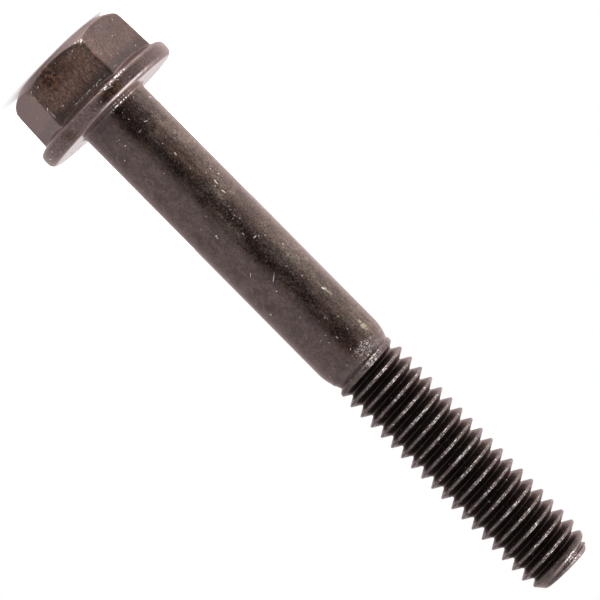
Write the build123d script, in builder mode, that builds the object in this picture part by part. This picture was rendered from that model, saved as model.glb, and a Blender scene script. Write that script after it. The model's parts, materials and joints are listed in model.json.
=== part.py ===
"""Hex flange bolt, 5/16-18 UNC x 2-1/2 in: forged head, plain shank and rolled thread in one piece.

Millimetres. The bolt stands on its head: the flat top of the head lies in the XY plane with its
centre at the origin, and +Z runs along the axis to the tip of the thread.
"""
from build123d import *
import math
import os


def rise(angle):
    """Rise for each unit of run of a line at an angle in degrees."""
    return math.tan(math.radians(angle))


def stepped(outline):
    """The closed outline again, with each arc as a few short chords, so that it turns into few facets."""
    points = []
    for edge in outline.order_edges():
        chords = arc_chords if edge.geom_type == GeomType.CIRCLE else 1
        points += [edge @ (chord / chords) for chord in range(chords)]
    return Polyline(*points, close=True)


# ---- driving dimensions ------------------------------------------------------
arc_chords = 2  # for each arc of a turned outline
head_height = 7.72  # top of the head to the bearing face under the flange
length_under_head = 63.36  # bearing face to the tip; a little short of the nominal 2-1/2 in
across_flats = 12.7  # where the flats meet the flange
hex_draft = 2.0  # degrees that each flat leans in towards the top of the head
hex_corner_radius = 0.35
top_flat_diameter = 10.7  # the flat circle inside the head's chamfer
chamfer_angle = 30.0  # of the head's chamfer, from the flat top
chamfer_diameter = 14.1  # at which the chamfer turns down into the corners of the hexagon
chamfer_blend = 1.3  # radius of that turn
chamfer_side_slope = 12.0  # degrees that the turned outline leans out below the chamfer

flange_diameter = 16.5
flange_edge_thickness = 1.68
flange_slope = 19.0  # degrees that the flange's upper side rises towards the hexagon
flange_top_radius = 0.65
flange_bearing_radius = 0.75
under_head_radius = 0.4

shank_diameter = 7.76
shank_length = 33.66  # bearing face to where the shoulder's slope meets the line of the shank
shoulder_slope = 22.6  # degrees that the shoulder falls to the root of the thread
shoulder_radius = 5.4

thread_pitch = 25.4 / 18
thread_diameter = 7.72
thread_root_diameter = 5.96
flank_angle = 34.0  # with the ridge run up to a sharp crest; a narrow flat there would leave 30
thread_start_angle = 150.0  # about the axis, from +X, where the ridge starts inside the shoulder
thread_start_height = 41.26  # of the crest there
foot_sink = 0.1  # depth of the ridge's foot inside the core
crest_clearance = 0.09  # by which the trimming outline passes the crests that it leaves whole
first_crest_diameter = 7.16  # the first turn is part-formed, where the rolling dies run out
first_crest_end_height = 43.05
full_crest_height = 44.75
last_full_crest_height = 68.9
starved_crest_diameter = 6.96  # the last turn isn't filled out, next to the tip's chamfer
starved_crest_height = 69.9
tip_diameter = 5.4
tip_chamfer_angle = 40.5  # from the axis

# ---- heights and radii that follow -------------------------------------------
bearing_height = head_height
tip_height = head_height + length_under_head
flange_radius = flange_diameter / 2
shank_radius = shank_diameter / 2
crest_radius = thread_diameter / 2
root_radius = thread_root_diameter / 2
flange_edge_height = bearing_height - flange_edge_thickness
flange_apex_height = flange_edge_height - flange_radius * rise(flange_slope)
flats_foot_height = flange_edge_height - (flange_radius - across_flats / 2) * rise(flange_slope)
shoulder_height = bearing_height + shank_length
root_start_height = shoulder_height + (shank_radius - root_radius) / rise(shoulder_slope)
past_tip_height = tip_height + thread_pitch

with BuildPart() as head_hexagon:
    # the hexagon grows from the bearing face to the top of the head and leans in by its draft
    flats_at_bearing = across_flats + 2 * (bearing_height - flats_foot_height) * rise(hex_draft)
    with BuildSketch(Plane.XY.offset(bearing_height)):
        RegularPolygon(radius=flats_at_bearing / 2, side_count=6, major_radius=False)
        fillet(vertices(), radius=hex_corner_radius)
    extrude(amount=-bearing_height, taper=hex_draft)
    # the chamfer is turned, so it cuts deepest at the corners and leaves an arc on each flat
    top_flat_radius = top_flat_diameter / 2
    chamfer_radius = chamfer_diameter / 2
    chamfer_height = (chamfer_radius - top_flat_radius) * rise(chamfer_angle)
    side_reach = (bearing_height - chamfer_height) * rise(chamfer_side_slope)
    with BuildSketch(Plane.XZ):
        with BuildLine():
            stepped(
                FilletPolyline(
                    (0, 0),
                    (top_flat_radius, 0),
                    (chamfer_radius, chamfer_height),
                    (chamfer_radius + side_reach, bearing_height),
                    (0, bearing_height),
                    radius=(0, 0, chamfer_blend, 0, 0),
                    close=True,
                    mode=Mode.PRIVATE,
                )
            )
        make_face()
    revolve(axis=Axis.Z, mode=Mode.INTERSECT)

with BuildPart() as thread_ridge:
    # one ridge of the screw thread, from inside the shoulder to past the tip, swept turn by turn
    foot_radius = root_radius - foot_sink
    foot_width = 2 * (crest_radius - foot_radius) * rise(flank_angle)
    turn_count = math.ceil((past_tip_height - thread_start_height) / thread_pitch)
    for turn in range(turn_count):
        turn_height = thread_start_height + turn * thread_pitch
        with BuildLine() as screw_line:
            Helix(thread_pitch, thread_pitch, root_radius, center=(0, 0, turn_height))
        with BuildSketch(Plane.XZ):
            with BuildLine():
                Polyline(
                    (foot_radius, turn_height - foot_width / 2),
                    (crest_radius, turn_height),
                    (foot_radius, turn_height + foot_width / 2),
                    close=True,
                )
            make_face()
        sweep(path=screw_line.line, is_frenet=True)
    # the first and last turns are trimmed to the height that the rolling left them
    clear_crest_radius = crest_radius + crest_clearance
    with BuildSketch(Plane.YZ):
        with BuildLine():
            Polyline(
                (0, thread_start_height - thread_pitch),
                (first_crest_diameter / 2, thread_start_height - thread_pitch),
                (first_crest_diameter / 2, first_crest_end_height),
                (clear_crest_radius, full_crest_height),
                (clear_crest_radius, last_full_crest_height),
                (starved_crest_diameter / 2, starved_crest_height),
                (starved_crest_diameter / 2, past_tip_height + thread_pitch),
                (0, past_tip_height + thread_pitch),
                close=True,
            )
        make_face()
    revolve(axis=Axis.Z, mode=Mode.INTERSECT)

with BuildPart() as flange_bolt:
    # flange, shank, shoulder and thread core, turned from one outline; the upper side of the
    # flange runs on inside the hexagon to the axis
    with BuildSketch(Plane.XZ):
        with BuildLine():
            stepped(
                FilletPolyline(
                    (0, flange_apex_height),
                    (flange_radius, flange_edge_height),
                    (flange_radius, bearing_height),
                    (shank_radius, bearing_height),
                    (shank_radius, shoulder_height),
                    (root_radius, root_start_height),
                    (root_radius, tip_height),
                    (0, tip_height),
                    radius=(
                        0,
                        flange_top_radius,
                        flange_bearing_radius,
                        under_head_radius,
                        shoulder_radius,
                        0,
                        0,
                        0,
                    ),
                    close=True,
                    mode=Mode.PRIVATE,
                )
            )
        make_face()
    revolve(axis=Axis.Z)
    add(head_hexagon)
    # the thread is turned round to its own start, away from the seam of the core
    add(thread_ridge, rotation=(0, 0, thread_start_angle))
    # the tip: cut square to length, with its edge chamfered
    cut_radius = flange_radius
    chamfer_drop = (cut_radius - tip_diameter / 2) / rise(tip_chamfer_angle)
    with BuildSketch(Plane.XZ):
        with BuildLine():
            Polyline(
                (0, tip_height),
                (tip_diameter / 2, tip_height),
                (cut_radius, tip_height - chamfer_drop),
                (cut_radius, past_tip_height + thread_pitch),
                (0, past_tip_height + thread_pitch),
                close=True,
            )
        make_face()
    revolve(axis=Axis.Z, mode=Mode.SUBTRACT)

flange_bolt.part.label = "flange_bolt"
os.makedirs("parts", exist_ok=True)
export_step(flange_bolt.part, "parts/flange_bolt.step")
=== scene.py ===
"""Looks of the hex flange bolt: a fine mesh of its forged and rolled surface, its worn black-oxide
finish, and the plain pale studio that it stands in.

The bolt's outlines are in millimetres and degrees, in the frame's own axes: it stands on the flat top
of its head and +Z runs to the tip. Meshes, camera and floor are in metres, as the frame is.
"""

import functools
import json
import math

import bpy
import numpy as np
from mathutils import Matrix, Quaternion, Vector


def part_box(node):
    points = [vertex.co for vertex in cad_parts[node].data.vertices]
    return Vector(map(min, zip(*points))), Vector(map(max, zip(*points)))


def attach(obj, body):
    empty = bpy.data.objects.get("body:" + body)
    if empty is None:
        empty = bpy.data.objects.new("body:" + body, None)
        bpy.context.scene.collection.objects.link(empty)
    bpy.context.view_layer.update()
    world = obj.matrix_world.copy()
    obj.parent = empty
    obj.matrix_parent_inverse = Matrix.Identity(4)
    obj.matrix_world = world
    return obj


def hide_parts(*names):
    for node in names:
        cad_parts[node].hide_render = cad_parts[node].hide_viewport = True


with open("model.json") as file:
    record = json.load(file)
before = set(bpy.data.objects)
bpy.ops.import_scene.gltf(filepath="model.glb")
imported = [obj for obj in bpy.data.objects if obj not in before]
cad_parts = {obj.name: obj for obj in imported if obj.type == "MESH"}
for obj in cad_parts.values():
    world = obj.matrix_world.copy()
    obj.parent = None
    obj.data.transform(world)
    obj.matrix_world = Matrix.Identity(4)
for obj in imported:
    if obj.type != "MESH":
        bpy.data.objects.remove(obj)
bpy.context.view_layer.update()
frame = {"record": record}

MM = 0.001


def slope(angle):
    """Rise for each unit of run of a line at an angle in degrees."""
    return math.tan(math.radians(angle))


def cosine(angle):
    """Cosine of an angle in degrees."""
    return math.cos(math.radians(angle))


# ---- sizes that the frame gives ----------------------------------------------
mounts = {mount["name"]: mount for mount in frame["record"]["mounts"]}
high_corner = Vector(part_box("flange_bolt")[1]) / MM
tip_height = high_corner.z
flange_radius = high_corner.x
bearing_height = mounts["bearing_face"]["pos_m"][2] / MM
shank_radius = mounts["shank"]["dims"]["r_mm"]
crest_radius = mounts["thread"]["dims"]["r_mm"]
flat_distance = mounts["hex_drive"]["dims"]["r_mm"]  # from the axis to a flat, at the flange

# ---- sizes of the head and flange --------------------------------------------
hex_draft = 2.0  # degrees that each flat leans in towards the top
hex_corner_radius = 0.35
top_flat_radius = 5.35
top_flat_blend = 0.5  # radius of the turn from the flat top to the chamfer
chamfer_angle = 30.0  # from the flat top
chamfer_radius = 7.05
chamfer_blend = 1.3
chamfer_side_slope = 12.0
flat_edge_blend = 0.17  # where the chamfer meets the flats
hex_foot_blend = 0.35  # where the flats meet the flange
flange_edge_thickness = 1.68
flange_slope = 19.0
flange_top_radius = 0.65
flange_bearing_radius = 0.75
under_head_radius = 0.4

top_disc_radius = top_flat_radius - top_flat_blend * slope(chamfer_angle / 2)
top_blend_end_height = top_flat_blend * (1 - cosine(chamfer_angle))
mid_flat_height = 4.0  # any height between the chamfer's arcs and the foot of the flats
flange_edge_height = bearing_height - flange_edge_thickness
flats_foot_height = flange_edge_height - (flange_radius - flat_distance) * slope(flange_slope)

# ---- sizes of the shank, shoulder and thread ---------------------------------
shank_length = 33.66
shoulder_height = bearing_height + shank_length
shoulder_slope = 22.6
shoulder_radius = 5.4
thread_pitch = 25.4 / 18
root_radius = 2.92
root_blend = 0.1
flank_angle = 30.0
crest_width = 0.15
crest_blend = 0.05
thread_start_angle = 150.0  # about the axis, from +X
thread_start_height = 41.26  # of the crest there
first_crest_radius = 3.58  # the first turn is part-formed
first_crest_end_height = 43.05
full_crest_height = 44.3
last_full_crest_height = 68.9
starved_crest_radius = 3.5  # the last turn isn't filled out
starved_crest_height = 69.9
tip_radius = 2.7
tip_chamfer_angle = 40.5  # from the axis

# ---- how fine the mesh is ----------------------------------------------------
columns_per_half_flat = 14
column_crowding = 1.7  # power by which the columns draw together at the hexagon's corners
crossing_steps = 30  # halvings of the range of heights in which two outlines cross
top_ring_shares = (0.15, 0.35, 0.55, 0.75, 0.9, 1.0)  # of the radius of the flat top
top_blend_rows = 4
# rows draw together round the chamfer's edge and the foot of the flats, over these heights
before_edge = 0.12
after_edge = 0.15
before_foot = 0.35
after_foot = 0.1
rim_arc_rows = 6  # in each of the two arcs of the flange's rim
bearing_face_rows = 7
under_head_rows = 5
shank_row_spacing = 0.4
clear_turn_share = 0.3  # least share of a pitch from the first row that climbs to the shoulder
# rows in one turn of the thread, as shares of its pitch: the root is at 0 and the crest at 0.5
turn_rows = (0.0, 0.05, 0.1, 0.17, 0.27, 0.36, 0.41, 0.445)
turn_rows += (0.5, 0.555, 0.59, 0.64, 0.73, 0.83, 0.9, 0.95)
tip_margin = 0.06  # least height between the last ring of the thread and the tip
tip_ring_shares = (0.97, 0.92, 0.7, 0.4)  # of the radius of the tip's flat end


# ---- the outlines ------------------------------------------------------------
def smooth_min(a, b, width):
    """The lower of a and b, rounded off where they are within width of each other."""
    share = np.clip(0.5 + 0.5 * (b - a) / width, 0, 1)
    return b * (1 - share) + a * share - width * share * (1 - share)


def smooth_max(a, b, width):
    """The higher of a and b, rounded off where they are within width of each other."""
    return -smooth_min(-a, -b, width)


def arc(centre, radius, start, end, count):
    """Points (radius, height) along an arc, from start to end degrees, start left out."""
    turns = [math.radians(start + (end - start) * step / count) for step in range(1, count + 1)]
    return [(centre[0] + radius * math.cos(turn), centre[1] + radius * math.sin(turn)) for turn in turns]


def column_angles():
    """Angles of the mesh's columns about the axis, closest together at the hexagon's corners."""
    steps = range(columns_per_half_flat + 1)
    half = [30 * (step / columns_per_half_flat) ** column_crowding for step in steps]
    sector = half + [60 - angle for angle in half[-2:0:-1]]
    return np.radians([60 * corner + angle for corner in range(6) for angle in sector])


def hexagon_radius(angles, heights):
    """Distance from the axis to the hexagon's rounded, tapered outline."""
    apothem = flat_distance - (flats_foot_height - heights) * slope(hex_draft)
    from_corner = np.abs((np.degrees(angles) + 30) % 60 - 30)
    from_flat = np.radians(30 - from_corner)
    flat = apothem / np.cos(from_flat)
    corner_centre = (apothem - hex_corner_radius) / cosine(30)
    off_corner = np.radians(from_corner)
    reach = np.maximum(hex_corner_radius**2 - (corner_centre * np.sin(off_corner)) ** 2, 0)
    rounded = corner_centre * np.cos(off_corner) + np.sqrt(reach)
    on_arc = np.tan(from_flat) * apothem > (apothem - hex_corner_radius) * slope(30)
    return np.where(on_arc, rounded, flat)


def turned_radius(heights):
    """Distance from the axis to the head's turned outline: top blend, chamfer and the turn below it."""
    into_blend = np.clip(heights, 0, top_blend_end_height)
    blend = top_disc_radius + np.sqrt(top_flat_blend**2 - (top_flat_blend - into_blend) ** 2)
    cone = top_flat_radius + heights / slope(chamfer_angle)
    corner_height = (chamfer_radius - top_flat_radius) * slope(chamfer_angle)
    side = chamfer_radius + (heights - corner_height) * slope(chamfer_side_slope)
    return np.where(heights < top_blend_end_height, blend, smooth_min(cone, side, chamfer_blend / 2))


def flange_top_reach(heights):
    """Distance from the axis to the flange's sloping upper side."""
    return flange_radius - (flange_edge_height - heights) / slope(flange_slope)


def head_radius(angles, heights):
    """Distance from the axis to the head's side, from its top to the flange's rim."""
    side = smooth_min(turned_radius(heights), hexagon_radius(angles, heights), flat_edge_blend)
    return smooth_max(side, flange_top_reach(heights), hex_foot_blend)


def crossing_height(low, high, difference):
    """Height between low and high at which difference(height) changes sign, column by column."""
    for _ in range(crossing_steps):
        middle = (low + high) / 2
        below = difference(middle) < 0
        low, high = np.where(below, middle, low), np.where(below, high, middle)
    return (low + high) / 2


def core_radius(heights):
    """Distance from the axis to the shank, its shoulder and the root of the thread."""
    sloping = shank_radius - (heights - shoulder_height) * slope(shoulder_slope)
    rounding = 4 * shoulder_radius * (1 / cosine(shoulder_slope / 2) - 1)
    return smooth_max(smooth_min(shank_radius, sloping, rounding), root_radius, root_blend)


def bolt_end_radius(angles, heights):
    """Distance from the axis to the shank, shoulder and thread, at angles in radians."""
    turn = (heights - thread_start_height) / thread_pitch
    turn = turn - (np.degrees(angles) - thread_start_angle) / 360
    off_crest = np.abs(turn - np.round(turn)) * thread_pitch
    trim = np.interp(
        heights,
        (first_crest_end_height, full_crest_height, last_full_crest_height, starved_crest_height),
        (first_crest_radius, crest_radius, crest_radius, starved_crest_radius),
    )
    flank = crest_radius - (off_crest - crest_width / 2) / slope(flank_angle)
    ridge = smooth_min(flank, trim, crest_blend)
    whole = smooth_max(core_radius(heights), ridge, root_blend)
    chamfer = tip_radius + (tip_height - heights) * slope(tip_chamfer_angle)
    return smooth_min(whole, chamfer, crest_blend)


# ---- the mesh ----------------------------------------------------------------
def spread(start, end, count):
    """count heights from start to end, end included and start left out, for each column."""
    return [start + (end - start) * step / count for step in range(1, count + 1)]


def rim_outline(start_height):
    """Points (radius, height) round the flange's rim, over the bearing face and on to the shank."""
    top_centre_height = start_height + flange_top_radius * cosine(flange_slope)
    top_centre = (flange_radius - flange_top_radius, top_centre_height)
    points = arc(top_centre, flange_top_radius, flange_slope - 90, 0, rim_arc_rows)
    bearing_centre = (flange_radius - flange_bearing_radius, bearing_height - flange_bearing_radius)
    edge_top = points[-1][1]
    edge_length = bearing_centre[1] - edge_top
    points += [(flange_radius, edge_top + edge_length * share) for share in (0.5, 1.0)]
    points += arc(bearing_centre, flange_bearing_radius, 0, 90, rim_arc_rows)
    under_head = (shank_radius + under_head_radius, bearing_height + under_head_radius)
    face_reach = points[-1][0]
    face_width = under_head[0] - face_reach
    for step in range(1, bearing_face_rows + 1):
        points.append((face_reach + face_width * step / bearing_face_rows, bearing_height))
    return points + arc(under_head, under_head_radius, 270, 180, under_head_rows)


def head_rings(angles):
    """Rings (radii, heights) from the middle of the head's top to the start of the plain shank."""
    zero = 0 * angles
    rings = [(zero + top_disc_radius * share, zero) for share in top_ring_shares]
    rim_turn = slope(45 - flange_slope / 2) - cosine(flange_slope)
    rim_start = flange_edge_height + flange_top_radius * rim_turn
    mid_flat = zero + mid_flat_height
    edge = crossing_height(
        zero + top_blend_end_height, mid_flat, lambda z: turned_radius(z) - hexagon_radius(angles, z)
    )
    foot = crossing_height(
        mid_flat, zero + rim_start, lambda z: flange_top_reach(z) - hexagon_radius(angles, z)
    )
    shares = [(step / top_blend_rows) ** 2 for step in range(1, top_blend_rows + 1)]
    heights = [zero + top_blend_end_height * share for share in shares]
    stops = (  # each with the number of rows up to it
        (edge - before_edge, 6),
        (edge + after_edge, 6),
        (foot - before_foot, 14),
        (foot + after_foot, 7),
        (zero + rim_start, 5),
    )
    start = heights[-1]
    for end, count in stops:
        heights += spread(start, end, count)
        start = end
    rings += [(head_radius(angles, height), height) for height in heights]
    return rings + [(zero + radius, zero + height) for radius, height in rim_outline(rim_start)]


class BoltMesh:
    """Vertices and faces of the bolt, gathered row by row. Points are in millimetres."""

    def __init__(self, angles):
        self.angles = angles
        self.points = []
        self.faces = []

    def add(self, angle, radius, height):
        """The number of a new vertex."""
        self.points.append((radius * math.cos(angle), radius * math.sin(angle), height))
        return len(self.points) - 1

    def add_ring(self, radii, heights):
        """A row of new vertices, one in each column."""
        return [self.add(angle, r, z) for angle, r, z in zip(self.angles, radii, heights)]

    def add_row(self, start, heights):
        """A row of vertices on the shank or thread, of which the first, start, is there already."""
        radii = bolt_end_radius(self.angles, heights)
        return [start] + [self.add(a, r, z) for a, r, z in zip(self.angles[1:], radii[1:], heights[1:])]

    def join(self, lower, upper):
        """Faces between two rows of vertices, the lower one nearer to the head; rows may share vertices."""
        for a, b, c, d in zip(lower, lower[1:], upper[1:], upper):
            face = list(dict.fromkeys((a, b, c, d)))
            if len(face) > 2:
                self.faces.append(face)

    def join_rings(self, lower, upper):
        """Faces between two rows that close on themselves."""
        self.join(lower + lower[:1], upper + upper[:1])


def thread_lines(mesh, first_ring, start_height):
    """Rows that follow the thread, from the shank's ring at start_height to the ring that is returned.

    A row climbs one pitch in each turn, so it runs on into a later one. The wedges that this leaves
    at the first and last turn are filled with rows that draw together to a point.
    """
    angles = mesh.angles
    rows = len(turn_rows)
    climb = thread_pitch * angles / (2 * math.pi)
    turns = int((tip_height - tip_margin - start_height) / thread_pitch) - 1
    last_line = turns * rows
    offsets = [thread_pitch * (turn + share) for turn in range(turns) for share in turn_rows]
    offsets.append(thread_pitch * turns)

    lines = [mesh.add_row(first_ring[0], start_height + climb)]
    for offset in offsets[1:]:
        heights = start_height + offset + climb
        lines.append(mesh.add_ring(bolt_end_radius(angles, heights), heights))
    end_heights = start_height + thread_pitch * (turns + 1) + 0 * angles
    end_ring = mesh.add_ring(bolt_end_radius(angles, end_heights), end_heights)
    # column 0 above the last line: where the lines of the last turn end
    tail = [lines[last_line][0]]
    for share in turn_rows[1:]:
        height = start_height + thread_pitch * (turns + share)
        tail.append(mesh.add(angles[0], bolt_end_radius(angles[0], np.float64(height)), height))
    tail.append(end_ring[0])
    starts = [row[0] for row in lines] + tail[1:]

    full_lines = [row + [starts[index + rows]] for index, row in enumerate(lines)]
    for lower, upper in zip(full_lines, full_lines[1:]):
        mesh.join(lower, upper)
    # the first wedge, between the ring of the shank and the first line
    previous = first_ring + [starts[0]]
    for index in range(1, rows):
        heights = start_height + climb * turn_rows[index]
        current = mesh.add_row(first_ring[0], heights) + [starts[index]]
        mesh.join(previous, current)
        previous = current
    mesh.join(previous, full_lines[0])
    # the last wedge, between the last line and the ring next to the tip
    previous = full_lines[last_line]
    for index in range(1, rows):
        heights = start_height + offsets[last_line] + climb + turn_rows[index] * (thread_pitch - climb)
        current = mesh.add_row(tail[index], heights) + [end_ring[0]]
        mesh.join(previous, current)
        previous = current
    mesh.join(previous, end_ring + [end_ring[0]])
    return end_ring


def bolt_mesh():
    """The whole bolt as one closed mesh."""
    angles = column_angles()
    mesh = BoltMesh(angles)
    zero = 0 * angles
    rings = head_rings(angles)
    # the rows that climb start where the root of the thread would be in column 0
    root_height = thread_start_height - thread_pitch * (0.5 + thread_start_angle / 360)
    turns_back = math.ceil((root_height - shoulder_height) / thread_pitch + clear_turn_share)
    climb_start = root_height - thread_pitch * turns_back
    shank_start = rings[-1][1][0]
    shank_rows = math.ceil((climb_start - shank_start) / shank_row_spacing)
    for heights in spread(zero + shank_start, zero + climb_start, shank_rows):
        rings.append((core_radius(heights), heights))

    centre = mesh.add(0, 0, 0)
    previous = mesh.add_ring(*rings[0])
    mesh.join([centre] * (len(angles) + 1), previous + previous[:1])
    for radii, heights in rings[1:]:
        current = mesh.add_ring(radii, heights)
        mesh.join_rings(previous, current)
        previous = current
    previous = thread_lines(mesh, previous, climb_start)
    for share in tip_ring_shares:
        current = mesh.add_ring(zero + tip_radius * share, zero + tip_height)
        mesh.join_rings(previous, current)
        previous = current
    centre = mesh.add(0, 0, tip_height)
    mesh.join(previous + previous[:1], [centre] * (len(angles) + 1))
    return mesh


def make_bolt():
    """The dressed bolt, in place of the plain CAD solid."""
    mesh = bolt_mesh()
    data = bpy.data.meshes.new("bolt_surface")
    data.from_pydata([(Vector(point) * MM) for point in mesh.points], [], mesh.faces)
    data.validate()
    data.update()
    data.shade_smooth()
    bolt = bpy.data.objects.new("bolt_surface", data)
    bpy.context.scene.collection.objects.link(bolt)
    return bolt


# ---- nodes -------------------------------------------------------------------
front = math.radians(-99)  # about the axis, from +X: the side of the bolt that faces the camera


def direction(round_axis, upward=0):
    """Unit vector at an angle round the bolt's axis from its front, and at an angle upward."""
    turn = front + math.radians(round_axis)
    rise = math.radians(upward)
    return Vector((math.cos(turn) * math.cos(rise), math.sin(turn) * math.cos(rise), math.sin(rise)))


def colour(red, green, blue):
    """A colour in linear light, as the nodes take it."""
    return (red, green, blue, 1.0)


white = colour(1, 1, 1)


class Nodes:
    """Short calls that add nodes to one tree and wire them up. A value is a number or a socket."""

    def __init__(self, owner):
        owner.use_nodes = True
        self.tree = owner.node_tree
        self.tree.nodes.clear()

    def add(self, kind, settings=(), **inputs):
        """A new node, with its settings and with a value in each named input."""
        node = self.tree.nodes.new("ShaderNode" + kind)
        for name, value in dict(settings).items():
            setattr(node, name, value)
        for name, value in inputs.items():
            self.feed(node.inputs[name.replace("_", " ")], value)
        return node

    def feed(self, socket, value):
        """Puts a value into an input."""
        if isinstance(value, bpy.types.NodeSocket):
            self.tree.links.new(value, socket)
        else:
            socket.default_value = value

    def maths(self, operation, a, b=0.0):
        """What a Math node gives for one or two numbers."""
        node = self.add("Math", {"operation": operation})
        self.feed(node.inputs[0], a)
        self.feed(node.inputs[1], b)
        return node.outputs[0]

    def product(self, *values):
        """The product of several numbers."""
        return functools.reduce(lambda a, b: self.maths("MULTIPLY", a, b), values)

    def highest(self, *values):
        """The highest of several numbers."""
        return functools.reduce(lambda a, b: self.maths("MAXIMUM", a, b), values)

    def vector(self, operation, a, b=(0, 0, 0)):
        """What a Vector Math node gives for one or two vectors: a number or a vector."""
        node = self.add("VectorMath", {"operation": operation})
        self.feed(node.inputs[0], a)
        self.feed(node.inputs[1], b)
        return node.outputs["Value" if operation in ("DOT_PRODUCT", "LENGTH") else "Vector"]

    def between(self, value, low, high):
        """0 below low and 1 above high, with a smooth rise; low may be the larger of the two."""
        node = self.add("MapRange", {"interpolation_type": "SMOOTHSTEP"}, Value=value)
        self.feed(node.inputs["From Min"], low)
        self.feed(node.inputs["From Max"], high)
        return node.outputs["Result"]

    def within(self, value, rise, fall):
        """1 between two soft edges, each given as between() takes it."""
        return self.product(self.between(value, *rise), self.between(value, *fall))

    def near_direction(self, toward, outer, inner):
        """1 within the inner angle of a direction, 0 outside the outer; toward is the angle's cosine."""
        return self.between(toward, cosine(outer), cosine(inner))

    def blend(self, share, a, b):
        """a where share is 0 and b where it is 1, for numbers or colours."""
        colours = [v for v in (a, b) if isinstance(v, tuple) or getattr(v, "type", "") == "RGBA"]
        kind = "RGBA" if colours else "VALUE"
        node = self.add("Mix", {"data_type": "RGBA" if colours else "FLOAT"})
        slots = [s for s in node.inputs if s.type == kind and s.name in ("A", "B")]
        self.feed(node.inputs[0], share)
        self.feed(slots[0], a)
        self.feed(slots[1], b)
        return next(s for s in node.outputs if s.type == kind)


# ---- colours and strengths of the surface ------------------------------------
shank_oxide = colour(0.074, 0.053, 0.050)
head_oxide = (colour(0.069, 0.047, 0.043), colour(0.075, 0.048, 0.041))  # varies between the two
patchy_oxide = (colour(0.070, 0.052, 0.047), colour(0.106, 0.080, 0.065))
brown_oxide = colour(0.116, 0.068, 0.054)
rim_oxide = colour(0.105, 0.074, 0.070)
rusty_oxide = colour(0.068, 0.040, 0.030)
rust = colour(0.024, 0.012, 0.008)
# for real dark blots and for the painted dark reflection on the front
dark_blot_and_reflection = colour(0.015, 0.008, 0.006)
# painted shade in the crease where the hexagon's flats meet the flange
foot_shade_colour = colour(0.030, 0.023, 0.020)
# darker in the thread's grooves
groove_dark_colour = colour(0.010, 0.007, 0.006)
bearing_oxide = colour(0.15, 0.115, 0.11)
# the second, darker one is painted shade on the crests of the side where less light falls
crest_oxide = (colour(0.085, 0.066, 0.062), colour(0.034, 0.029, 0.029))  # varies round the bolt
tip_oxide = colour(0.070, 0.053, 0.050)
pale_specks = colour(0.13, 0.10, 0.09)
rust_mottles = colour(0.14, 0.072, 0.042)
smear = colour(0.30, 0.26, 0.18)
# bare steel, for wear and for the painted highlights
bare_steel_and_highlight = colour(0.66, 0.60, 0.58)
# painted highlight on the flange rim's edge next to the bearing face
rim_highlight_colour = colour(0.52, 0.46, 0.45)
gloss_tint = colour(1.0, 0.8, 0.79)

# how strongly some of them show, from 0 to 1
rust_in_patches = 0.25
# how much of the painted dark reflection shows beside its band
dark_reflection_beside = 0.7
dark_in_patches = 0.35
foot_shade_strength = 0.65
groove_darkening = 0.95
# painted light: how much of the grooves' darkening stays on the side that faces the light
lit_groove_strength = 0.4
speck_strength = 0.7
mottle_strength = 0.85
# of the painted highlight on the rim's edge next to the bearing face
rim_highlight_strength = 0.45
crest_glint_share = 0.1  # on the side where the crests catch the light: painted glints

# how much the grain, the slow swirls and the streaks lighten and darken the oxide
shank_contrast = 1.6
head_contrast = 2.4
brown_contrast = 2.8
patchy_contrast = 3.6
shank_swirl = 1.7
head_swirl = 1.0
streak_contrast = 2.2

oxide_roughness = 0.30
film_roughness = 0.42
bearing_roughness = 0.11
groove_roughness = 0.36

# ---- where things are on the surface -----------------------------------------
# soft edges: the values at which a thing starts and is whole
head_edge = (bearing_height + 0.1, bearing_height - 0.2)  # heights
brown_edge = (0.7, 1.3)
foot_shade_edges = ((3.9, 4.9), (5.7, 5.3))
shoulder_edge = (40.0, 41.0)
thread_edges = ((41.6, 42.2), (70.2, 69.8))
tip_edge = (69.5, 69.9)
rim_edge = (7.8, 8.0)  # radii
bearing_inner_edge = (4.1, 4.3)
shoulder_inner_edge = (3.4, 3.5)
bearing_edge = (0.12, 0.03)  # distances from the height of the bearing face
groove_edge = (0.08, 0.36)  # depths below the crest
crest_edge = (0.18, 0.06)
side_unevenness = 0.2  # of the soft edges of the sides, as a cosine

# sides: turn from the front, and the angles away from it at which a side ends and is whole
patchy_side = (-56, 66, 54)
# painted reflection: dark patches on the front of the shank, where it mirrors the dark side where the
# camera stands
dark_reflection_side = (-8, 15, 8)
beside_band_side = (-16, 26, 13)
# painted light: the grooves are less dark on this side, which faces the light
lit_groove_side = (-85, 38, 28)
rim_side = (45, 75, 30)
# painted shade: the crests are darker on this side, where less light falls
shaded_crest_side = (95, 60, 30)
# painted glints: more bare steel on the crests on this side, where they catch the light
glint_crest_side = (-5, 27, 6)
# painted highlight on the rim's edge next to the bearing face, on this side only
rim_highlight_side = (-18, 28, 6)

along_axis = (1, 1, 0.3)  # stretch of the noise of the films, which are drawn out along the axis

# spots: radius, turn from the front, height, size, how far drawn out along z, strength
rust_spots = (
    (6.5, 19, 1.4, 1.8, 1.1, 1),
    (6.5, 4, 1.6, 1.2, 1.1, 0.5),
    (8.2, -8, 6.75, 1.9, 0.5, 0.9),
    (8.2, 35, 6.9, 1.3, 0.8, 0.45),
)
dark_spots = (
    (3.9, -15, 10.0, 2.6, 1.3, 0.9),
    (3.9, -10, 19.0, 1.0, 3.0, 0.7),
    (6.2, 10, 0.6, 4.5, 0.22, 0.5),
)
brown_spots = ((6.3, 8, 2.2, 5.5, 1.0, 1),)
smear_spots = ((3.9, -43, 40.0, 0.45, 2.2, 1), (3.9, -42, 35.2, 0.28, 2.6, 0.8))
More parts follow.
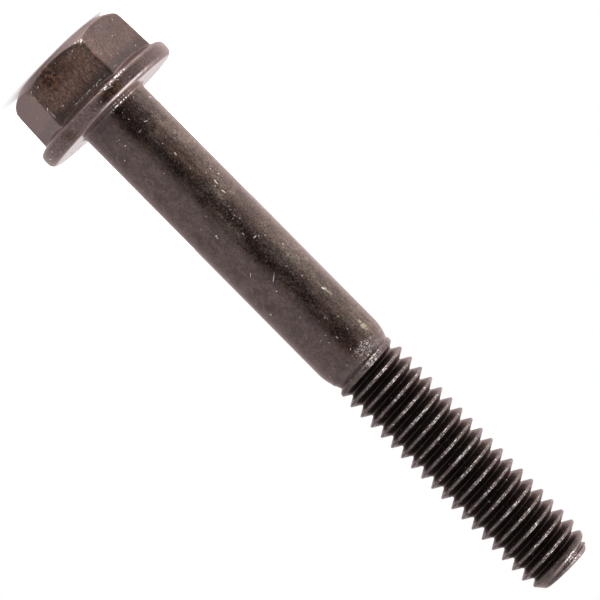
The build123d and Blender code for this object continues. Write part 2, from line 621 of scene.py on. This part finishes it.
# painted highlight on the shoulder, on the side that catches the light
shoulder_highlight_spots = ((3.6, -15, 42.8, 1.5, 0.5, 1.8), (3.65, -17, 41.5, 1.6, 0.55, 0.6))
# the first two are rubbed marks along a corner of the hexagon; the others are painted highlights, on the
# chamfer by an upper corner, on the rim's edge on the head side and on the tip's chamfer
rubbed_and_highlight_spots = (
    (7.1, 40, 2.2, 0.2, 7.0, 0.4),
    (7.1, 38, 4.2, 0.2, 4.0, 0.5),
    (6.9, -21, 1.1, 0.4, 1.2, 1),
    (6.8, -17, 0.85, 0.25, 0.8, 0.7),
    (8.0, -9, 6.1, 0.9, 0.6, 1),
    (3.1, -24, 70.4, 1.2, 0.6, 0.7),
)
# painted highlights in thin lines round the bolt, on the flange rim's edge on the head side, at the foot of
# the flats and round the under-head fillet: height, half width, and the radii at which a line is hidden and
# shown; each has the spot that it shows in as well
painted_highlight_lines = (
    ((6.02, 0.24, 7.6, 7.8), (8.1, -15, 6.0, 2.1, 1.0, 1)),
    ((5.13, 0.1, 7.2, 7.0), (6.6, -2, 5.2, 4.0, 1.0, 0.8)),
    ((7.9, 0.1, 4.5, 4.2), (4.0, -19, 7.9, 2.0, 1.0, 1)),
)
# painted highlight: a thin bright line round the rim's edge next to the bearing face
rim_highlight_line = (7.43, 0.14, 7.6, 7.8)
# scratches on the shank: turn from the front, height, half length, half width, lean
scratches = (
    (4, 30.5, 0.55, 0.06, -53),
    (22, 23.8, 0.24, 0.10, -20),
    (-18, 26.4, 0.22, 0.07, 88),
    (-21, 15.2, 0.20, 0.09, -8),
    (-36, 19.9, 0.35, 0.06, -9),
    (-34, 21.1, 0.30, 0.07, 12),
    (-39, 34.7, 0.26, 0.11, 22),
    (52, 32.9, 0.18, 0.08, 4),
    (0, 39.0, 0.16, 0.07, 3),
    (-9, 25.4, 0.18, 0.07, -5),
    (-24, 10.9, 0.24, 0.06, 60),
    (-8, 11.2, 0.22, 0.06, -75),
)
# flecks of bare steel: scale, stretch, turn, size, share
fleck_kinds = (
    (2.0, (1, 1, 1), (0, 0, 0), 0.12, 0.035),
    (1.3, (1, 1, 1), (0.5, 0.2, 0), 0.09, 0.04),
    (1.6, (1.6, 1.6, 0.35), (0.6, 0.3, 0.2), 0.16, 0.07),
    (1.6, (1.6, 1.6, 0.35), (-0.9, 0.5, 0.9), 0.16, 0.05),
    (1.2, (2.6, 2.6, 0.25), (0.4, -0.7, 0.3), 0.15, 0.08),
    (1.2, (2.6, 2.6, 0.25), (1.3, 0.2, -0.4), 0.15, 0.06),
)


# ---- the bolt's material -----------------------------------------------------
class BoltNodes(Nodes):
    """Nodes that know where on the bolt a point is, in millimetres."""

    def __init__(self, owner):
        super().__init__(owner)
        in_metres = self.add("TexCoord").outputs["Object"]
        self.place = self.vector("MULTIPLY", in_metres, (1 / MM, 1 / MM, 1 / MM))
        self.height = self.vector("DOT_PRODUCT", self.place, (0, 0, 1))
        self.radius = self.vector("LENGTH", self.vector("MULTIPLY", self.place, (1, 1, 0)))
        self.grain = self.noise(5.2, detail=2, roughness=0.7)
        self.swirl = self.noise(0.9, detail=4, distortion=1.2)
        self.ragged = self.noise(1.9, detail=5, roughness=0.65)
        self.uneven = self.product(self.maths("SUBTRACT", self.swirl, 0.5), side_unevenness)
        self.find_regions()

    def find_regions(self):
        """How far a point is in each region of the surface, from 0 to 1."""
        self.on_head = self.between(self.height, *head_edge)
        off_head = self.maths("SUBTRACT", 1, self.on_head)
        self.patchy = self.product(self.side(*patchy_side), off_head)
        self.in_dark_reflection = self.product(self.side(*dark_reflection_side), off_head)
        self.beside_band = self.product(self.side(*beside_band_side), off_head)
        off_bearing = self.maths("ABSOLUTE", self.maths("SUBTRACT", self.height, bearing_height))
        self.on_bearing = self.product(
            self.between(off_bearing, *bearing_edge), self.between(self.radius, *bearing_inner_edge)
        )
        self.on_rim = self.product(self.between(self.radius, *rim_edge), self.side(*rim_side))
        # painted shade: a band at the foot of the flats, next to the flange
        self.shade_at_foot = self.within(self.height, *foot_shade_edges)
        in_thread = self.within(self.height, *thread_edges)
        self.full_crest = self.between(self.height, first_crest_end_height, full_crest_height)
        crest = self.blend(self.full_crest, first_crest_radius, crest_radius)
        below_crest = self.maths("SUBTRACT", crest, self.radius)
        self.in_groove = self.product(
            in_thread,
            self.between(below_crest, *groove_edge),
            # painted light: less dark on the side that faces the light
            self.blend(self.side(*lit_groove_side), 1.0, lit_groove_strength),
        )
        self.on_crest = self.product(in_thread, self.between(below_crest, *crest_edge))
        self.on_tip = self.between(self.height, *tip_edge)

    def noise(self, scale, detail=3.0, roughness=0.6, stretch=None, distortion=0.0):
        """Noise of about 1/scale mm, from 0 to 1 about 0.5; stretch scales the place's axes first."""
        place = self.vector("MULTIPLY", self.place, stretch) if stretch else self.place
        node = self.add("TexNoise", Vector=place, Scale=scale, Detail=detail, Roughness=roughness)
        node.inputs["Distortion"].default_value = distortion
        return node.outputs[0]

    def side(self, turn, outer, inner):
        """1 on the side of the bolt at a turn, fading out unevenly away from it."""
        toward = self.vector("DOT_PRODUCT", self.place, tuple(direction(turn)))
        toward = self.maths("ADD", self.maths("DIVIDE", toward, self.radius), self.uneven)
        return self.near_direction(toward, outer, inner)

    def spot(self, radius, turn, height, size, drawn_out, strength):
        """strength round a point of the surface, and 0 beyond about size, with a ragged edge."""
        centre = direction(turn) * radius + Vector((0, 0, height))
        away = self.vector("SUBTRACT", self.place, tuple(centre))
        away = self.vector("LENGTH", self.vector("MULTIPLY", away, (1, 1, 1 / drawn_out)))
        # the noise adds 0.7 of the size on average, more in some places and less in others
        away = self.maths("ADD", away, self.product(self.ragged, 1.4 * size))
        return self.product(self.between(away, 1.6 * size, 1.1 * size), strength)

    def any_spot(self, spots):
        """The union of several spots."""
        return self.highest(*(self.spot(*values) for values in spots))

    def scratch(self, turn, height, half_length, half_width, lean):
        """1 on a short straight mark on the shank; lean is its angle in degrees from the bolt's axis."""
        outward = direction(turn)
        centre = outward * shank_radius + Vector((0, 0, height))
        away = self.vector("SUBTRACT", self.place, tuple(centre))
        offsets = []
        for angle, reach in ((lean, half_length), (lean + 90, half_width)):
            line = Quaternion(outward, math.radians(angle)) @ Vector((0, 0, 1))
            offsets.append(self.maths("ABSOLUTE", self.vector("DOT_PRODUCT", away, tuple(line / reach))))
        # without this, the mark would show on the far side of the shank too
        near = self.between(self.vector("LENGTH", away), 1.2, 1.0)
        return self.product(self.between(self.highest(*offsets), 1, 0.5), near)

    def line_round(self, height, half_width, hidden_radius, shown_radius):
        """1 on a thin line round the bolt, where the surface lies on the shown side of the two radii."""
        off_line = self.maths("ABSOLUTE", self.maths("SUBTRACT", self.height, height))
        on_line = self.between(off_line, half_width, 0.25 * half_width)
        return self.product(on_line, self.between(self.radius, hidden_radius, shown_radius))

    def flecks(self, scale, stretch, turn, size, share):
        """Sparse small marks: dots, or short lines where stretch draws them out; share of them shows."""
        place = self.add("VectorRotate", {"rotation_type": "EULER_XYZ"}, Vector=self.place, Rotation=turn)
        place = self.vector("MULTIPLY", place.outputs[0], stretch)
        cells = self.add("TexVoronoi", Vector=place, Scale=scale)
        drawn = self.between(cells.outputs["Distance"], size, 0.5 * size)
        kept = self.vector("DOT_PRODUCT", cells.outputs["Color"], (1, 0, 0))
        return self.product(drawn, self.between(kept, 1 - share, 1.02 - share))

    def factor(self, pattern, contrast):
        """A factor about 1, by which a pattern about 0.5 lightens and darkens."""
        return self.maths("ADD", self.product(self.maths("SUBTRACT", pattern, 0.5), contrast), 1.0)


def paint_oxide_and_shade(nodes, film, dark, brown, rusted):
    """The colour before its grain: grey-brown oxide, browner on the head and darker in the grooves, with
    painted light in the grooves of one side, a painted dark reflection on the front, and painted shade at
    the foot of the flats and on the crests of one side.
    """
    varied = nodes.between(nodes.noise(0.35, detail=4), 0.42, 0.58)
    on_head = nodes.blend(varied, *head_oxide)
    on_head = nodes.blend(brown, on_head, brown_oxide)
    on_head = nodes.blend(nodes.on_rim, on_head, rim_oxide)
    base = nodes.blend(nodes.on_head, shank_oxide, on_head)
    base = nodes.blend(nodes.patchy, base, nodes.blend(film, *patchy_oxide))
    rusty = nodes.between(nodes.noise(0.5, detail=6, roughness=0.65, stretch=along_axis), 0.42, 0.56)
    where_rusty = nodes.highest(nodes.beside_band, nodes.product(nodes.patchy, rust_in_patches))
    base = nodes.blend(nodes.product(rusty, where_rusty), base, rusty_oxide)
    base = nodes.blend(rusted, base, rust)
    base = nodes.blend(dark, base, dark_blot_and_reflection)
    # painted shade at the foot of the flats
    base = nodes.blend(nodes.product(nodes.shade_at_foot, foot_shade_strength), base, foot_shade_colour)
    base = nodes.blend(nodes.product(nodes.in_groove, groove_darkening), base, groove_dark_colour)
    base = nodes.blend(nodes.on_bearing, base, bearing_oxide)
    # painted shade on the crests of one side
    crest = nodes.blend(nodes.side(*shaded_crest_side), *crest_oxide)
    base = nodes.blend(nodes.on_crest, base, crest)
    return nodes.blend(nodes.on_tip, base, tip_oxide)


def add_grain(nodes, base, dark, brown, rusted):
    """Grain, slow swirls and streaks on a colour, and pale specks, rusty mottles and smears over it."""
    contrast = nodes.blend(nodes.on_head, shank_contrast, nodes.blend(brown, head_contrast, brown_contrast))
    contrast = nodes.blend(nodes.patchy, contrast, patchy_contrast)
    swirl_contrast = nodes.blend(nodes.on_head, shank_swirl, head_swirl)
    streaks = nodes.noise(3.6, detail=3, stretch=(1.5, 1.5, 0.4))
    grainy = nodes.product(
        nodes.factor(nodes.grain, contrast),
        nodes.factor(nodes.swirl, swirl_contrast),
        nodes.factor(streaks, nodes.product(brown, streak_contrast)),
    )
    base = nodes.vector("MULTIPLY", base, grainy)
    specks = nodes.product(nodes.between(nodes.grain, 0.53, 0.68), nodes.product(dark, speck_strength))
    base = nodes.blend(specks, base, pale_specks)
    mottles = nodes.between(nodes.noise(2.3, detail=4, roughness=0.7), 0.50, 0.59)
    mottles = nodes.product(mottles, nodes.product(rusted, mottle_strength))
    base = nodes.blend(mottles, base, rust_mottles)
    smears = nodes.product(nodes.any_spot(smear_spots), nodes.between(nodes.grain, 0.35, 0.6))
    return nodes.blend(smears, base, smear)


def find_wear_and_highlights(nodes):
    """Where bare steel shows, from 0 to 1: worn crests, rubbed marks, small flecks and short scratches, and
    painted highlights on the rim's edges, the foot of the flats, the under-head fillet, the shoulder, the
    chamfer, the tip and the crests of one side.
    """
    rub = nodes.noise(5.5, detail=3, stretch=(0.8, 0.8, 1.4))
    turned_lines = nodes.noise(1.0, detail=2, stretch=(0.5, 0.5, 6))
    # turned lines of bare steel on the shoulder, shown only in spots on the side where they catch the
    # light: a painted highlight
    shoulder_highlight = nodes.product(
        nodes.between(turned_lines, 0.38, 0.52),
        nodes.between(nodes.height, *shoulder_edge),
        nodes.between(nodes.radius, *shoulder_inner_edge),
        nodes.any_spot(shoulder_highlight_spots),
    )
    # painted highlights along the rim's edge, the foot of the flats and the under-head fillet
    lines = [nodes.product(nodes.line_round(*line), nodes.spot(*shown)) for line, shown in painted_highlight_lines]
    rubbed_and_highlit = nodes.highest(shoulder_highlight, nodes.any_spot(rubbed_and_highlight_spots), *lines)
    rubbed_and_highlit = nodes.product(nodes.between(rub, 0.48, 0.58), rubbed_and_highlit)
    # painted glints: the crests' rubbed steel spreads further on the side where they catch the light
    crest_rub_and_glint = nodes.maths("ADD", rub, nodes.product(nodes.side(*glint_crest_side), crest_glint_share))
    on_crests = nodes.product(nodes.between(crest_rub_and_glint, 0.58, 0.74), nodes.on_crest, nodes.full_crest)
    flecks = [nodes.flecks(*values) for values in fleck_kinds]
    broken = nodes.between(rub, 0.3, 0.6)
    scratched = [nodes.product(nodes.scratch(*values), broken) for values in scratches]
    return nodes.highest(rubbed_and_highlit, on_crests, *flecks, *scratched)


def black_oxide():
    """Oiled black-oxide steel: brown-grey and grainy, patchy on one side and worn on its high spots, with
    painted highlights on edges, crests, shoulder and tip, a painted dark reflection on its front, painted
    light in the grooves of one side and painted shade at the foot of the flats and on the crests of one
    side.
    """
    material = bpy.data.materials.new("black_oxide_steel")
    nodes = BoltNodes(material)
    film = nodes.between(nodes.noise(0.6, detail=6, roughness=0.6, stretch=along_axis), 0.38, 0.62)
    dark = nodes.between(nodes.noise(0.45, detail=6, roughness=0.7, stretch=along_axis), 0.58, 0.42)
    where_dark = nodes.highest(
        # painted reflection in the band on the front, fading out beside it, and real dark blots on the
        # patchy side
        nodes.in_dark_reflection,
        nodes.product(nodes.beside_band, dark_reflection_beside),
        nodes.product(nodes.patchy, dark_in_patches),
    )
    dark = nodes.highest(nodes.product(dark, where_dark), nodes.any_spot(dark_spots))
    brown = nodes.product(nodes.any_spot(brown_spots), nodes.between(nodes.height, *brown_edge))
    rusted = nodes.any_spot(rust_spots)
    base = paint_oxide_and_shade(nodes, film, dark, brown, rusted)
    base = add_grain(nodes, base, dark, brown, rusted)
    # bare steel where it is worn, and painted highlights
    base = nodes.blend(find_wear_and_highlights(nodes), base, bare_steel_and_highlight)
    # painted highlight on the rim's edge next to the bearing face, on the side that catches the light
    rim_highlight = nodes.product(nodes.line_round(*rim_highlight_line), nodes.side(*rim_highlight_side))
    base = nodes.blend(nodes.product(rim_highlight, rim_highlight_strength), base, rim_highlight_colour)

    roughness = nodes.blend(nodes.product(film, nodes.patchy), oxide_roughness, film_roughness)
    roughness = nodes.blend(nodes.on_bearing, roughness, bearing_roughness)
    roughness = nodes.blend(nodes.in_groove, roughness, groove_roughness)
    shader = nodes.add("BsdfPrincipled", Base_Color=base, Roughness=roughness)
    shader.inputs["Metallic"].default_value = 0.65
    shader.inputs["IOR"].default_value = 1.5
    shader.inputs["Specular Tint"].default_value = gloss_tint
    bump = nodes.add("Bump", Height=nodes.grain)
    bump.inputs["Strength"].default_value = 0.6
    bump.inputs["Distance"].default_value = 0.02 * MM
    nodes.feed(shader.inputs["Normal"], bump.outputs[0])
    nodes.add("OutputMaterial", Surface=shader.outputs[0])
    return material


bolt = make_bolt()
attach(bolt, "root")
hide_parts("flange_bolt")
bolt.data.materials.append(black_oxide())


# ---- studio ------------------------------------------------------------------
camera_distance = 0.4
camera_height = 0.0344
aim_height = 0.03387  # of the point on the bolt's axis that is at the middle of the picture
camera_lens = 243.9
picture_tilt = 45.3  # degrees from across the picture to the bolt's axis

# a light of the white studio: angle round the axis from the front, angle upward, and the angles at
# which its soft edge ends and is whole; the gap where the camera stands is given likewise
camera_gap = (-8, 0, 34, 12)
gap_strength = 0.05
studio_lights = (  # with the strength of each
    ((-112, 0, 64, 20), 1.2),
    ((-110, 68, 42, 16), 3.5),
    ((-110, -68, 42, 16), 3.5),
)

floor_half_width = 0.8
floor_colour = colour(0.8, 0.8, 0.8)
floor_glow = 0.45  # light that it gives off to the camera alone, so that it renders white


def make_camera():
    """The camera, side-on to the bolt, with the picture turned so that the head is at the upper left."""
    data = bpy.data.cameras.new("camera")
    data.lens = camera_lens
    data.sensor_width = 36
    camera = bpy.data.objects.new("camera", data)
    bpy.context.scene.collection.objects.link(camera)
    camera.location = (
        camera_distance * math.cos(front),
        camera_distance * math.sin(front),
        camera_height,
    )
    forward = (Vector((0, 0, aim_height)) - camera.location).normalized()
    axis = Vector((0, 0, 1))
    across = (axis - axis.dot(forward) * forward).normalized()  # the bolt's axis in the picture
    side = forward.cross(across)
    tilt = math.radians(picture_tilt)
    right = across * math.cos(tilt) - side * math.sin(tilt)
    up = right.cross(forward)
    camera.rotation_euler = Matrix((right, up, -forward)).transposed().to_euler()
    bpy.context.scene.camera = camera


def make_world():
    """A white studio: a gap where the camera stands, a key light from one side, two along the axis."""
    world = bpy.data.worlds.new("studio")
    bpy.context.scene.world = world
    nodes = Nodes(world)
    looking = nodes.add("TexCoord").outputs["Generated"]

    def lobe(round_axis, upward, outer, inner):
        """1 in the part of the studio at a direction, with a soft edge."""
        toward = nodes.vector("DOT_PRODUCT", looking, tuple(direction(round_axis, upward)))
        return nodes.near_direction(toward, outer, inner)

    light = nodes.blend(lobe(*camera_gap), 1.0, gap_strength)
    for place, strength in studio_lights:
        light = nodes.maths("ADD", light, nodes.product(lobe(*place), strength))
    seen = nodes.add("LightPath").outputs["Is Camera Ray"]
    light = nodes.blend(seen, light, 1.0)
    background = nodes.add("Background", Color=white, Strength=light)
    nodes.add("OutputWorld", Surface=background.outputs[0])


def make_floor():
    """A plain pale floor, white to the camera apart from the bolt's soft shadow."""
    data = bpy.data.meshes.new("floor")
    corners = [(x, y, 0) for x, y in ((-1, -1), (1, -1), (1, 1), (-1, 1))]
    data.from_pydata([Vector(corner) * floor_half_width for corner in corners], [], [(0, 1, 2, 3)])
    floor = bpy.data.objects.new("floor", data)
    bpy.context.scene.collection.objects.link(floor)
    material = bpy.data.materials.new("pale_floor")
    nodes = Nodes(material)
    diffuse = nodes.add("BsdfDiffuse", Color=floor_colour)
    seen = nodes.add("LightPath").outputs["Is Camera Ray"]
    glow = nodes.add("Emission", Color=white, Strength=nodes.product(seen, floor_glow))
    both = nodes.add("AddShader")
    nodes.feed(both.inputs[0], diffuse.outputs[0])
    nodes.feed(both.inputs[1], glow.outputs[0])
    nodes.add("OutputMaterial", Surface=both.outputs[0])
    data.materials.append(material)
    floor.visible_glossy = False
    floor.visible_shadow = False


make_camera()
make_floor()
make_world()
bpy.context.scene.view_settings.view_transform = "Standard"
